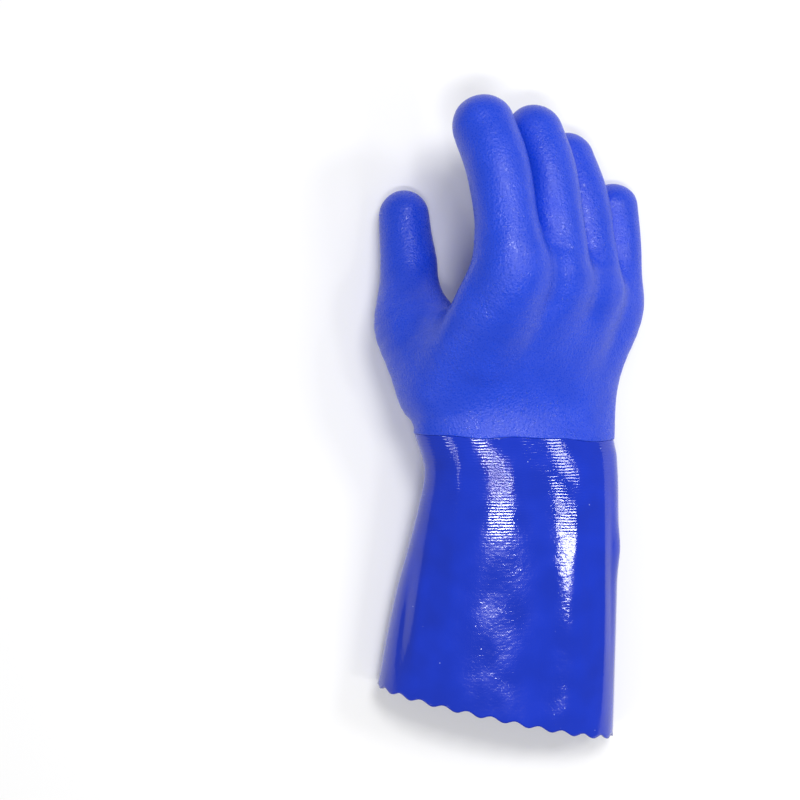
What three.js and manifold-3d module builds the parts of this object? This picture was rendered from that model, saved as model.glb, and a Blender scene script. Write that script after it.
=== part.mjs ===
// PVC coated work glove for the right hand, as it lies by itself: back up, rolled
// towards the little finger, fingers along +Y, thumb to -X and cuff to -Y.
// Millimetres, +Z up, and z = 0 is the surface that it lies on.
import * as THREE from 'three';
import Module from 'manifold-3d';

const wasm = await Module();
wasm.setup();

// Sizes along the glove, from the line where the rough second coat ends
const HAND_LENGTH = 159;
const CUFF_LENGTH = 135;

// Widths and heights of the trunk, outside
const PALM_WIDTH = 112;
const PALM_THICKNESS = 26;
const WRIST_WIDTH = 94;
const WRIST_HEIGHT = 52;
const HEM_WIDTH = 116;
const HEM_HEIGHT = 46;
const HAND_ROLL = 48;

// Digits, outside
const FINGER_DIAMETER = 29;
const THUMB_DIAMETER = 29;
const THUMB_LENGTH = 109;

// Skin: the hand has two coats on its liner, the cuff one
const HAND_WALL = 1.8;
const CUFF_WALL = 1.4;
const COAT_STEP = 0.4;
const COAT_GAP = 0.5;
const TONGUE_LENGTH = 7;

// How much of the underside is pressed flat where it rests
const SOLE = 0.8;

// How widely the forms of the hand run into each other; the fillets of the thumb and the
// web grow from the least one at the dip line
const THUMB_FILLET = 16;
const WEB_FILLET = 16;
const FINGER_FILLET = 7;
const LEAST_FILLET = 1;
// How much the roots of the digits stand proud of the digits themselves
const ROOT_PROUD = 0.3;

// Pinked hem
const SCALLOP_COUNT = 24;
const SCALLOP_DEPTH = 1.9;
// Rise of the edge from a crest to the next, as shares of the depth
const SCALLOP_RISE = [1, 0.6, 0, 0.6];

// Facets
const POINTS_PER_SCALLOP = SCALLOP_RISE.length;
const CUFF_SIDES = SCALLOP_COUNT * POINTS_PER_SCALLOP;
const PALM_SIDES = 48;
const DIGIT_SIDES = 16;
const FINE_STEPS = 6;
const TIP_RINGS = 4;
const TRUNK_SAMPLES = 90;
const TRACE_STEPS = 14;
// Share of a section's size within which its axis counts as a point
const AXIS_REACH = 1e-3;

// Trunk sections from the hem to the dip line. at is a share of CUFF_LENGTH, flare
// goes from the wrist's size to the hem's, top is the share of the height above the
// widest line, shift a share of HEM_WIDTH, roll a share of HAND_ROLL, slant how far
// the section runs back for each mm towards +X, and square the corner exponent.
const CUFF_ROWS = [
  { at: -1.0, flare: 1.0, top: 0.8, shift: -0.03, roll: 0.0, slant: -0.213, square: 2.5 },
  { at: -0.8, flare: 0.84, top: 0.76, shift: -0.01, roll: 0.0, slant: -0.17, square: 2.5 },
  { at: -0.6, flare: 0.62, top: 0.69, shift: 0.014, roll: 0.0, slant: -0.13, square: 2.5 },
  { at: -0.45, flare: 0.4, top: 0.62, shift: 0.036, roll: 0.03, slant: -0.1, square: 2.4 },
  { at: -0.28, flare: 0.17, top: 0.55, shift: 0.06, roll: 0.08, slant: -0.07, square: 2.3 },
  { at: -0.13, flare: 0.04, top: 0.5, shift: 0.072, roll: 0.15, slant: -0.045, square: 2.2 },
  { at: 0.0, flare: 0.27, top: 0.5, shift: 0.049, roll: 0.27, slant: -0.03, square: 2.15 },
];

// Trunk sections from the dip line to the finger webs. at is a share of HAND_LENGTH,
// spread goes from the wrist's size to the knuckles', shift is a share of PALM_WIDTH
// from the wrist's middle, and plump and arch, the rise of the middle over the edges,
// are shares of the height at that place.
const PALM_ROWS = [
  { at: 0.0, spread: 0.0, plump: 1.0, shift: 0.0, roll: 0.27, slant: -0.03, arch: 0.0, square: 2.15 },
  { at: 0.09, spread: 0.26, plump: 1.0, shift: 0.012, roll: 0.44, slant: -0.06, arch: 0.03, square: 2.15 },
  { at: 0.19, spread: 0.44, plump: 1.0, shift: 0.045, roll: 0.64, slant: -0.1, arch: 0.08, square: 2.15 },
  { at: 0.29, spread: 0.68, plump: 1.0, shift: 0.1, roll: 0.84, slant: -0.16, arch: 0.15, square: 2.1 },
  { at: 0.38, spread: 0.8, plump: 1.0, shift: 0.142, roll: 0.94, slant: -0.22, arch: 0.22, square: 2.1 },
  { at: 0.47, spread: 0.9, plump: 1.0, shift: 0.184, roll: 1.0, slant: -0.27, arch: 0.25, square: 2.1 },
  { at: 0.54, spread: 0.87, plump: 0.95, shift: 0.184, roll: 1.0, slant: -0.27, arch: 0.25, square: 2.1 },
  { at: 0.575, spread: 0.8, plump: 0.75, shift: 0.184, roll: 1.0, slant: -0.27, arch: 0.25, square: 2.1 },
  { at: 0.59, spread: 0.72, plump: 0.4, shift: 0.184, roll: 1.0, slant: -0.27, arch: 0.25, square: 2.1 },
];
const KNUCKLE_ROW = 0.47;
// Shares of HAND_LENGTH where the hand's skin has a ring, before its plain front end
const SKIN_ROWS = [0.065, 0.1, 0.15, 0.2, 0.25, 0.3, 0.335, 0.36, 0.385, 0.42, 0.47, 0.515, 0.55];
// The row where the thumb swells the palm most
const SWELL_ROW = 0.335;

// Fingers. seat is the place on the knuckle arc as a share of half its width, back the
// set-back of the knuckle and bones the three lengths, the last one up to the middle
// of the round tip, as shares of HAND_LENGTH. girth and tip are shares of
// FINGER_DIAMETER. splay turns towards the little finger, and flex are the bends
// towards the palm at the three joints, in degrees.
const FINGERS = [
  {
    seat: -0.745, back: 0.0, bones: [0.205, 0.135, 0.113],
    girth: 1.0, tip: 1.02, splay: -4.5, flex: [3, 8, 13],
  },
  {
    seat: -0.205, back: 0.0, bones: [0.21, 0.14, 0.096],
    girth: 0.94, tip: 0.93, splay: -2.5, flex: [3.5, 8, 12],
  },
  {
    seat: 0.3, back: 0.04, bones: [0.2, 0.13, 0.1],
    girth: 0.89, tip: 0.86, splay: -1.0, flex: [6, 8, 10],
  },
  {
    seat: 0.72, back: 0.1, bones: [0.155, 0.1, 0.085],
    girth: 0.84, tip: 0.8, splay: 1.0, flex: [0, 3, 5],
  },
];
// A finger starts as a thin ridge inside the back of the hand, nearer to its middle
const FINGER_ROOT = { length: 0.22, girth: 0.62, gather: 0.82 };
const FINGER_STATIONS = 12;
// First station of a finger that is a tube of its own; the others are in the palm's skin
const FINGER_START = 3;
const WEB_STATIONS = 5;

// Thumb: stations of its middle line from the ball of the thumb to the middle of the
// round tip. along is a share of THUMB_LENGTH, across and up are shares of PALM_WIDTH,
// and girth is a share of THUMB_DIAMETER.
const THUMB = [
  { along: 0.06, across: -0.19, up: 0.25, girth: 1.26 },
  { along: 0.13, across: -0.237, up: 0.257, girth: 1.31 },
  { along: 0.2, across: -0.268, up: 0.268, girth: 1.38 },
  { along: 0.272, across: -0.295, up: 0.277, girth: 1.41 },
  { along: 0.43, across: -0.365, up: 0.25, girth: 1.22 },
  { along: 0.592, across: -0.401, up: 0.192, girth: 1.025 },
  { along: 0.786, across: -0.409, up: 0.138, girth: 0.964 },
  { along: 0.909, across: -0.422, up: 0.118, girth: 0.888 },
  { along: 1.0, across: -0.4275, up: 0.1035, girth: 0.849 },
];
// Station where the thumb comes out of the skin of the palm, and where the palm begins
// to swell towards it as a share of HAND_LENGTH
const THUMB_ROOT = 4;
const THUMB_START = 0.13;

// Web between the thumb and the index finger: a fat fold that sags back in its middle
// by a share of HAND_LENGTH, with girths as shares of THUMB_DIAMETER
const WEB = { sag: 0.122, girths: [0.8, 1.0, 1.0] };

const toRadians = THREE.MathUtils.degToRad;

// Values of a table between its rows, on a smooth curve through them
function between(rows, at) {
  const last = rows.length - 1;
  let i = 0;
  while (i < last - 1 && at > rows[i + 1].at) i += 1;
  const before = rows[Math.max(i - 1, 0)];
  const after = rows[Math.min(i + 2, last)];
  const [from, to] = [rows[i], rows[i + 1]];
  const span = to.at - from.at;
  const u = THREE.MathUtils.clamp((at - from.at) / span, 0, 1);
  const values = {};
  for (const name of Object.keys(from)) {
    const leave = ((to[name] - before[name]) / (to.at - before.at)) * span;
    const arrive = ((after[name] - from[name]) / (after.at - from.at)) * span;
    const [u2, u3] = [u * u, u * u * u];
    values[name] = (2 * u3 - 3 * u2 + 1) * from[name] + (u3 - 2 * u2 + u) * leave
      + (3 * u2 - 2 * u3) * to[name] + (u3 - u2) * arrive;
  }
  return values;
}

// Outer size and place of the trunk at one share of its length; the wrist's rows meet
function cuffSection(at) {
  const row = between(CUFF_ROWS, at);
  const height = THREE.MathUtils.lerp(WRIST_HEIGHT, HEM_HEIGHT, row.flare);
  return {
    y: at * CUFF_LENGTH,
    x: row.shift * HEM_WIDTH,
    half: THREE.MathUtils.lerp(WRIST_WIDTH, HEM_WIDTH, row.flare) / 2,
    above: height * row.top,
    below: height * (1 - row.top),
    roll: toRadians(row.roll * HAND_ROLL),
    slant: row.slant,
    arch: 0,
    square: row.square,
  };
}

const wrist = cuffSection(0);

function palmSection(at) {
  const row = between(PALM_ROWS, at);
  const spread = (from, to) => THREE.MathUtils.lerp(from, to, row.spread);
  const height = spread(WRIST_HEIGHT, PALM_THICKNESS) * row.plump;
  return {
    y: at * HAND_LENGTH,
    x: wrist.x + row.shift * PALM_WIDTH,
    half: spread(wrist.half, PALM_WIDTH / 2),
    above: height / 2,
    below: height / 2,
    roll: toRadians(row.roll * HAND_ROLL),
    slant: row.slant,
    arch: row.arch * height,
    square: row.square,
  };
}

// Point of a section that is s along its width and t over its middle line
function place(section, s, t) {
  const bow = section.arch * (1 - (s / section.half) ** 2);
  const [sin, cos] = [Math.sin(section.roll), Math.cos(section.roll)];
  const x = s * cos + (t + bow) * sin;
  const z = -s * sin + (t + bow) * cos;
  return new THREE.Vector3(section.x + x, section.y + section.slant * x, z);
}

function power(value, square) {
  return Math.sign(value) * Math.abs(value) ** (2 / square);
}

// Points spread evenly along a closed curve, from its first point on
function spreadEvenly(loop, count) {
  const closed = [...loop, loop[0]];
  const lengths = [0];
  for (let i = 1; i < closed.length; i += 1) {
    lengths.push(lengths[i - 1] + closed[i].distanceTo(closed[i - 1]));
  }
  let k = 0;
  return Array.from({ length: count }, (_, i) => {
    const goal = (lengths.at(-1) * i) / count;
    while (lengths[k + 1] < goal) k += 1;
    return closed[k].clone().lerp(closed[k + 1], (goal - lengths[k]) / (lengths[k + 1] - lengths[k]));
  });
}

// Closed ring round a section, inset from the outside, from its edge towards +X on
function ring(section, inset, sides) {
  const steps = sides * FINE_STEPS;
  const loop = Array.from({ length: steps }, (_, i) => {
    const angle = (2 * Math.PI * i) / steps;
    const rise = Math.sin(angle) > 0 ? section.above : section.below;
    const s = (section.half - inset) * power(Math.cos(angle), section.square);
    const t = (rise - inset) * power(Math.sin(angle), section.square);
    return place(section, s, t);
  });
  return spreadEvenly(loop, sides);
}

// How far a section is lifted so that it stands on the floor, a little flattened
function liftOf(section) {
  return -SOLE - Math.min(...ring(section, 0, CUFF_SIDES).map((point) => point.z));
}

// Keeps a point over the floor, or over the wall that lies on it
const pressed = (point, bottom) => point.setZ(Math.max(point.z, bottom));

function standingRing(section, inset, sides, bottom = inset) {
  const lift = liftOf(section);
  return ring(section, inset, sides).map((point) => (
    pressed(point.setZ(point.z + lift), bottom)
  ));
}

// Closed mesh through rings of equal length, with a fan on the first and last
function skin(rings) {
  const sides = rings[0].length;
  const points = rings.flat();
  const middle = (list) => list.reduce((sum, p) => sum.add(p), new THREE.Vector3())
    .divideScalar(list.length);
  const first = points.push(middle(rings[0])) - 1;
  const last = points.push(middle(rings.at(-1))) - 1;
  const index = [];
  for (let r = 0; r < rings.length - 1; r += 1) {
    for (let i = 0; i < sides; i += 1) {
      const j = (i + 1) % sides;
      const [a, b] = [r * sides + i, r * sides + j];
      index.push(a, b + sides, b, a, a + sides, b + sides);
    }
  }
  const end = (rings.length - 1) * sides;
  for (let i = 0; i < sides; i += 1) {
    const j = (i + 1) % sides;
    index.push(first, i, j, last, end + j, end + i);
  }
  return { points, index };
}

function solid({ points, index }) {
  const mesh = new wasm.Mesh({
    numProp: 3,
    vertProperties: new Float32Array(points.flatMap((p) => p.toArray())),
    triVerts: new Uint32Array(index),
  });
  return new wasm.Manifold(mesh);
}

// Round tube through stations with a middle and a radius, and a round tip
function tube(stations, inset, sides) {
  const rings = [];
  let across = new THREE.Vector3(1, 0, 0);
  const circle = (middle, ahead, radius) => {
    across = across.clone().addScaledVector(ahead, -across.dot(ahead)).normalize();
    const up = new THREE.Vector3().crossVectors(across, ahead);
    return Array.from({ length: sides }, (_, i) => {
      const angle = (2 * Math.PI * i) / sides;
      return pressed(
        middle.clone().addScaledVector(across, radius * Math.cos(angle))
          .addScaledVector(up, radius * Math.sin(angle)),
        inset,
      );
    });
  };
  stations.forEach((station, i) => {
    const next = stations[Math.min(i + 1, stations.length - 1)].middle;
    const ahead = next.clone().sub(stations[Math.max(i - 1, 0)].middle).normalize();
    rings.push(circle(station.middle, ahead, station.radius - inset));
    if (i < stations.length - 1) return;
    const radius = station.radius - inset;
    for (let k = 1; k <= TIP_RINGS; k += 1) {
      const angle = (Math.PI / 2) * (k / (TIP_RINGS + 0.4));
      const middle = station.middle.clone().addScaledVector(ahead, radius * Math.sin(angle));
      rings.push(circle(middle, ahead, radius * Math.cos(angle)));
    }
  });
  return skin(rings);
}

// Stations spread evenly along a smooth curve through a few middles and radii
function stationsThrough(middles, radii, count) {
  const curve = new THREE.CatmullRomCurve3(middles, false, 'centripetal');
  const last = radii.length - 1;
  return Array.from({ length: count }, (_, i) => {
    const u = i / (count - 1);
    const k = Math.min(Math.floor(u * last), last - 1);
    const radius = THREE.MathUtils.lerp(radii[k], radii[k + 1], u * last - k);
    return { middle: curve.getPoint(u), radius };
  });
}

// Point of the trunk's middle line, with the directions to the little finger and palm
function seatOn(section, share) {
  const nudge = 0.01 * section.half;
  const point = place(section, share * section.half, 0);
  const beyond = place(section, share * section.half + nudge, 0);
  const toLittle = beyond.sub(point).setY(0).normalize();
  const toPalm = new THREE.Vector3(toLittle.z, 0, -toLittle.x);
  point.y = section.y;
  point.z += liftOf(section);
  return { point, toLittle, toPalm };
}

const knuckles = palmSection(KNUCKLE_ROW);
const roots = palmSection(KNUCKLE_ROW - FINGER_ROOT.length);

function fingerStations(finger) {
  const { point, toLittle, toPalm } = seatOn(knuckles, finger.seat);
  point.y -= finger.back * HAND_LENGTH;
  const root = seatOn(roots, finger.seat * FINGER_ROOT.gather).point;
  root.y -= finger.back * HAND_LENGTH;
  const splay = toRadians(finger.splay);
  const straight = new THREE.Vector3(0, Math.cos(splay), 0)
    .addScaledVector(toLittle, Math.sin(splay));
  const heading = (bend) => straight.clone().multiplyScalar(Math.cos(bend))
    .addScaledVector(toPalm, Math.sin(bend));
  const middles = [root, point];
  let bend = 0;
  finger.bones.forEach((bone, i) => {
    bend += toRadians(finger.flex[i]);
    middles.push(middles.at(-1).clone().addScaledVector(heading(bend), bone * HAND_LENGTH));
  });
  const [girth, tip] = [finger.girth, finger.tip].map((share) => (share * FINGER_DIAMETER) / 2);
  const radii = [girth * FINGER_ROOT.girth, girth, girth * 0.98, tip, tip];
  return stationsThrough(middles, radii, FINGER_STATIONS);
}

function thumbStations() {
  return THUMB.map((station) => ({
    middle: new THREE.Vector3(
      station.across * PALM_WIDTH,
      station.along * THUMB_LENGTH,
      station.up * PALM_WIDTH,
    ),
    radius: (station.girth * THUMB_DIAMETER) / 2,
  }));
}

function webStations(thumb) {
  const index = seatOn(knuckles, FINGERS[0].seat).point;
  const root = thumb[THUMB_ROOT].middle;
  const middle = index.clone().lerp(root, 0.5);
  middle.y -= WEB.sag * HAND_LENGTH;
  const radii = WEB.girths.map((girth) => (girth * THUMB_DIAMETER) / 2);
  return stationsThrough([index, middle, root], radii, WEB_STATIONS);
}

const fingers = FINGERS.map(fingerStations);
const thumb = thumbStations();
const web = webStations(thumb);

// The trunk's sections in fine steps from behind the dip line on
const FRONT = PALM_ROWS.at(-1).at;
const BEHIND = -0.1;
const trunk = Array.from({ length: TRUNK_SAMPLES + 1 }, (_, i) => {
  const section = palmSection(THREE.MathUtils.lerp(BEHIND, FRONT, i / TRUNK_SAMPLES));
  return { ...section, lift: liftOf(section) };
});

function trunkAt(y) {
  const span = trunk.at(-1).y - trunk[0].y;
  const place = THREE.MathUtils.clamp((y - trunk[0].y) / span, 0, 1) * TRUNK_SAMPLES;
  const k = Math.min(Math.floor(place), TRUNK_SAMPLES - 1);
  const value = {};
  for (const name of Object.keys(trunk[0])) {
    value[name] = THREE.MathUtils.lerp(trunk[k][name], trunk[k + 1][name], place - k);
  }
  return value;
}

// Distance of a point from the trunk, near enough close to its skin
function trunkDistance(point) {
  const first = trunkAt(point.y);
  const section = trunkAt(point.y - first.slant * (point.x - first.x));
  const [dx, dz] = [point.x - section.x, point.z - section.lift];
  const [sin, cos] = [Math.sin(section.roll), Math.cos(section.roll)];
  const s = Math.abs(dx * cos - dz * sin) / section.half;
  const over = dx * sin + dz * cos - section.arch * (1 - s * s);
  const rise = over > 0 ? section.above : section.below;
  const t = Math.abs(over) / rise;
  const { square } = section;
  const reach = Math.max((s ** square + t ** square) ** (1 / square), AXIS_REACH);
  const slope = Math.hypot(
    (s / reach) ** (square - 1) / section.half,
    (t / reach) ** (square - 1) / rise,
  );
  return (reach - 1) / slope;
}

// Distance of a point from a round tube through stations, thickened by extra
function tubeDistance(point, stations, extra) {
  let nearest = Infinity;
  for (let i = 1; i < stations.length; i += 1) {
    const [start, end] = [stations[i - 1], stations[i]];
    const way = end.middle.clone().sub(start.middle);
    const from = point.clone().sub(start.middle);
    const share = THREE.MathUtils.clamp(from.dot(way) / way.lengthSq(), 0, 1);
    const radius = THREE.MathUtils.lerp(start.radius, end.radius, share) + extra;
    nearest = Math.min(nearest, from.addScaledVector(way, -share).length() - radius);
  }
  return nearest;
}

// The nearer of two distances, rounded where both are alike
function filleted(a, b, reach) {
  const overlap = Math.max(reach - Math.abs(a - b), 0) / reach;
  return Math.min(a, b) - (overlap * overlap * reach) / 4;
}

// Distance of a point from the skin of the palm, with the roots of the digits in it
function palmDistance(point) {
  const grown = THREE.MathUtils.smoothstep(point.y, 0, THUMB_START * HAND_LENGTH);
  const fillet = (full) => THREE.MathUtils.lerp(LEAST_FILLET, full, grown);
  let form = trunkDistance(point);
  form = filleted(form, tubeDistance(point, thumb, ROOT_PROUD), fillet(THUMB_FILLET));
  form = filleted(form, tubeDistance(point, web, 0), fillet(WEB_FILLET));
  const distances = fingers.map((finger) => tubeDistance(point, finger, ROOT_PROUD));
  return Math.min(...distances.map((distance) => filleted(form, distance, FINGER_FILLET)));
}

// Closed loop on the skin of the palm, traced outwards from the trunk's own section
function tracedLoop(section, inset) {
  const lift = liftOf(section);
  const loop = ring(section, inset, PALM_SIDES * FINE_STEPS);
  for (const point of loop) point.z += lift;
  return loop.map((point, i) => {
    const ahead = loop[(i + 1) % loop.length].clone().sub(loop.at(i - 1));
    const out = new THREE.Vector3(ahead.z, 0, -ahead.x).normalize();
    out.y = section.slant * out.x;
    const goal = point.clone();
    for (let k = 0; k < TRACE_STEPS; k += 1) goal.addScaledVector(out, -palmDistance(goal) - inset);
    return goal;
  });
}

// Places round a loop that are even where the thumb swells the palm most
function evenPlaces() {
  const loop = tracedLoop(palmSection(SWELL_ROW), 0);
  const lengths = [0];
  loop.forEach((point, i) => {
    lengths.push(lengths[i] + point.distanceTo(loop[(i + 1) % loop.length]));
  });
  return Array.from({ length: PALM_SIDES }, (_, i) => {
    const goal = (lengths.at(-1) * i) / PALM_SIDES;
    return lengths.findIndex((length) => length >= goal);
  });
}

const palmPlaces = evenPlaces();

// Ring of the hand's skin, plain or traced, at one share of its length
function skinRing(at, inset, traced) {
  const section = palmSection(at);
  const loop = traced
    ? tracedLoop(section, inset).map((point) => pressed(point, inset))
    : standingRing(section, inset, PALM_SIDES * FINE_STEPS);
  return palmPlaces.map((k) => loop[k]);
}

// Rows of the palm that the cuff's tongue lies under, the dip line first
const TONGUE_ROWS = [0, 0.5, 1].map((share) => (share * TONGUE_LENGTH) / HAND_LENGTH);

// Hand: palm and digits joined, outside or inset by the wall
function handForm(inset) {
  const rings = TONGUE_ROWS.map((at) => skinRing(at, inset, false));
  rings.push(...SKIN_ROWS.map((at) => skinRing(at, inset, true)));
  rings.push(skinRing(FRONT - inset / HAND_LENGTH, inset, false));
  if (inset > 0) rings.unshift(rings[0].map((point) => point.clone().setY(point.y - 2 * inset)));
  const digits = [...fingers.map((finger) => finger.slice(FINGER_START)), thumb.slice(THUMB_ROOT)];
  let form = solid(skin(rings));
  for (const stations of digits) form = form.add(solid(tube(stations, inset, DIGIT_SIDES)));
  return form;
}

function meshOf(form, name, material) {
  const { numProp, vertProperties, triVerts } = form.getMesh();
  const geometry = new THREE.BufferGeometry();
  geometry.setAttribute('position', new THREE.BufferAttribute(vertProperties, numProp));
  geometry.setIndex(new THREE.BufferAttribute(triVerts, 1));
  geometry.computeVertexNormals();
  const mesh = new THREE.Mesh(geometry, material);
  mesh.name = name;
  return mesh;
}

// Ring of the cuff at one of its rows; the hem's ring is cut in scallops
function cuffRing(at, inset, bottom) {
  const cut = at === CUFF_ROWS[0].at ? SCALLOP_DEPTH : 0;
  return standingRing(cuffSection(at), inset, CUFF_SIDES, bottom).map((point, i) => (
    point.setY(point.y + cut * SCALLOP_RISE[i % POINTS_PER_SCALLOP])
  ));
}

// One surface of the cuff, depth under its outside, from the hem up to the tongue that
// ends inside the hand
function cuffSurface(depth) {
  const tuck = HAND_WALL + COAT_GAP + depth;
  const mouth = -(COAT_GAP + depth) / CUFF_LENGTH;
  const rows = [...CUFF_ROWS.slice(0, -1).map((row) => row.at), mouth];
  return [
    ...rows.map((at) => cuffRing(at, COAT_STEP + depth, depth)),
    cuffRing(mouth, tuck, tuck),
    ...TONGUE_ROWS.map((at) => standingRing(palmSection(at), tuck, CUFF_SIDES)),
  ];
}

// Closed wall between an outer and an inner surface with the same rings
function wall(outer, inner) {
  const sides = outer[0].length;
  const rings = [...outer, ...inner.toReversed()];
  const index = [];
  for (let r = 0; r < rings.length; r += 1) {
    for (let i = 0; i < sides; i += 1) {
      const j = (i + 1) % sides;
      const next = ((r + 1) % rings.length) * sides;
      const [a, b] = [r * sides + i, r * sides + j];
      index.push(a, next + j, b, a, next + i, next + j);
    }
  }
  return { points: rings.flat(), index };
}

const handForms = [0, HAND_WALL].map(handForm);
const handShell = handForms[0].subtract(handForms[1]);
const cuffShell = solid(wall(cuffSurface(0), cuffSurface(CUFF_WALL)));

const grainyVinyl = new THREE.MeshStandardMaterial({ color: 0x2a49cc, roughness: 0.6, metalness: 0 });
const glossyVinyl = new THREE.MeshStandardMaterial({ color: 0x1f38c4, roughness: 0.15, metalness: 0 });

// The origin is the middle of the glove's box, on the floor
const glove = new THREE.Group();
glove.add(
  meshOf(handShell, 'hand_shell', grainyVinyl),
  meshOf(cuffShell, 'gauntlet', glossyVinyl),
);
const box = new THREE.Box3().setFromObject(glove);
const middle = box.getCenter(new THREE.Vector3());
glove.position.set(-middle.x, -middle.y, -box.min.z);
export default glove;
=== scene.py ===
"""PVC coated work glove lying back up: the skin, finish and studio around its frame."""

import math

import bmesh
import bpy
import numpy as np
from bpy.props import FloatProperty, FloatVectorProperty, IntProperty, PointerProperty
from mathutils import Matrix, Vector


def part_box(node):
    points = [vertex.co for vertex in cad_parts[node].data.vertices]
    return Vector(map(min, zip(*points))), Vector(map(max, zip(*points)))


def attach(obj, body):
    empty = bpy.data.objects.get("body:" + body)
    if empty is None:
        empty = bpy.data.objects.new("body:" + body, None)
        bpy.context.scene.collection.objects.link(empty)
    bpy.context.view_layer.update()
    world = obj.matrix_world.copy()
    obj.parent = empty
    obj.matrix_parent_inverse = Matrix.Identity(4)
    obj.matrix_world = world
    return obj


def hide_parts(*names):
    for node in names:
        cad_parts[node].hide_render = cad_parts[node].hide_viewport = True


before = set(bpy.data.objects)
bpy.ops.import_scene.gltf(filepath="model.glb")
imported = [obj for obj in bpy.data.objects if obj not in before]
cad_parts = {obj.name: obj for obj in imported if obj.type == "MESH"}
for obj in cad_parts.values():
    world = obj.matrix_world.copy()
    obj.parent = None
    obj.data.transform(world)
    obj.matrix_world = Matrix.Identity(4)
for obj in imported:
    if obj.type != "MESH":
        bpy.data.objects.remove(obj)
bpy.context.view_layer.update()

bl_info = {
    "name": "PVC Coated Work Glove",
    "version": (1, 0, 0),
    "blender": (4, 5, 0),
    "location": "View3D > Sidebar > Glove",
    "description": "Builds the skin, finish and studio of a coated gauntlet glove",
    "category": "Object",
}

MM = 0.001

# Sections of the cuff from the hem to the dip line: place as a share of its length,
# flare from the wrist's size to the hem's, share of the height over the widest line,
# shift towards +X as a share of the hem, roll as a share of the hand's, slant of the
# section towards +X, and exponent of its corners
CUFF_COLUMNS = ("at", "flare", "top", "shift", "roll", "slant", "square")
CUFF_ROWS = (
    (-1.0, 1.0, 0.8, -0.03, 0.0, -0.213, 2.5),
    (-0.8, 0.84, 0.76, -0.01, 0.0, -0.17, 2.5),
    (-0.6, 0.62, 0.69, 0.014, 0.0, -0.13, 2.5),
    (-0.45, 0.4, 0.62, 0.036, 0.03, -0.1, 2.4),
    (-0.28, 0.17, 0.55, 0.06, 0.08, -0.07, 2.3),
    (-0.13, 0.04, 0.5, 0.072, 0.15, -0.045, 2.2),
    (0.0, 0.27, 0.5, 0.049, 0.27, -0.03, 2.15),
)

# Sections of the hand from the dip line to the finger webs: place as a share of its
# length, spread from the wrist's size to the knuckles', plumpness, shift from the wrist
# as a share of the palm, roll, slant, arch as a share of the height, and corners
PALM_COLUMNS = ("at", "spread", "plump", "shift", "roll", "slant", "arch", "square")
PALM_ROWS = (
    (0.0, 0.0, 1.0, 0.0, 0.27, -0.03, 0.0, 2.15),
    (0.09, 0.26, 1.0, 0.012, 0.44, -0.06, 0.03, 2.15),
    (0.19, 0.44, 1.0, 0.045, 0.64, -0.1, 0.08, 2.15),
    (0.29, 0.68, 1.0, 0.09, 0.84, -0.16, 0.15, 2.1),
    (0.38, 0.8, 1.0, 0.128, 0.94, -0.22, 0.22, 2.1),
    (0.47, 0.9, 1.0, 0.184, 1.0, -0.27, 0.25, 2.1),
    (0.52, 0.75, 0.88, 0.184, 1.0, -0.27, 0.25, 2.1),
    (0.555, 0.5, 0.6, 0.184, 1.0, -0.27, 0.25, 2.1),
)
KNUCKLES = 0.47

# Fingers: seat on the knuckle arc, set-back, three bones, girth, girth of the tip,
# splay and the bends of the three joints in degrees
FINGER_COLUMNS = ("seat", "back", "bones", "girth", "tip", "splay", "flex")
FINGERS = (
    (-0.745, 0.0, (0.205, 0.135, 0.113), 1.0, 1.02, -4.5, (3, 8, 13)),
    (-0.205, 0.0, (0.21, 0.14, 0.096), 0.96, 0.96, -1.4, (3.5, 8, 12)),
    (0.3, 0.04, (0.2, 0.13, 0.1), 0.92, 0.92, 1.0, (6, 8, 10)),
    (0.74, 0.1, (0.155, 0.1, 0.085), 0.86, 0.85, 2.6, (0, 3, 5)),
)
FINGER_ROOT = {"length": 0.22, "girth": 0.62, "gather": 0.82}

# Thumb: place along it, across and up as shares of the palm's width, and girth
THUMB_COLUMNS = ("along", "across", "up", "girth")
THUMB = (
    (0.06, -0.19, 0.25, 1.26),
    (0.13, -0.237, 0.257, 1.31),
    (0.2, -0.268, 0.268, 1.38),
    (0.272, -0.295, 0.277, 1.41),
    (0.43, -0.365, 0.25, 1.22),
    (0.592, -0.401, 0.192, 1.025),
    (0.786, -0.409, 0.138, 0.964),
    (0.909, -0.422, 0.118, 0.888),
    (1.0, -0.4275, 0.1035, 0.849),
)

# Web from the index knuckle to the thumb: sag of its middle and three girths
WEB = {"sag": 0.122, "girths": (0.8, 1.0, 1.0)}

# Valleys between the knuckles: shares of the hand's length where they start and end, their
# half widths there and their heights over the middles of the fingers as shares of the girth
VALLEY = {
    "start": 0.36,
    "end": 0.64,
    "narrow": 1.0 * MM,
    "wide": 2.6 * MM,
    "high": 1.6,
    "low": 1.1,
}
VALLEY_FILLET = 8 * MM

# How widely the forms of the hand run into each other
THUMB_FILLET = 16 * MM
WEB_FILLET = 16 * MM
FINGER_FILLET = 9 * MM
CROTCH_FILLET = 3.5 * MM
# Round edge of the palm's front end, between the fingers
FRONT_ROUND = 14 * MM
# The fillets of the thumb and the web grow from the least one at the dip line
LEAST_FILLET = 1 * MM
THUMB_START = 0.13
# The hand has the cuff's own form at the dip line and its full form this far on
DIP_BLEND = 12 * MM

# Soft unevenness of the hand's skin: height in mm, wavelengths along X, Y and Z in mm
UNEVEN_COLUMNS = ("height", "waves", "phase")
UNEVEN = (
    (0.22, (41.0, 67.0, 38.0), 0.4),
    (0.13, (23.0, 36.0, 27.0), 2.1),
    (0.07, (13.0, 17.0, 15.0), 4.0),
)

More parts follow.
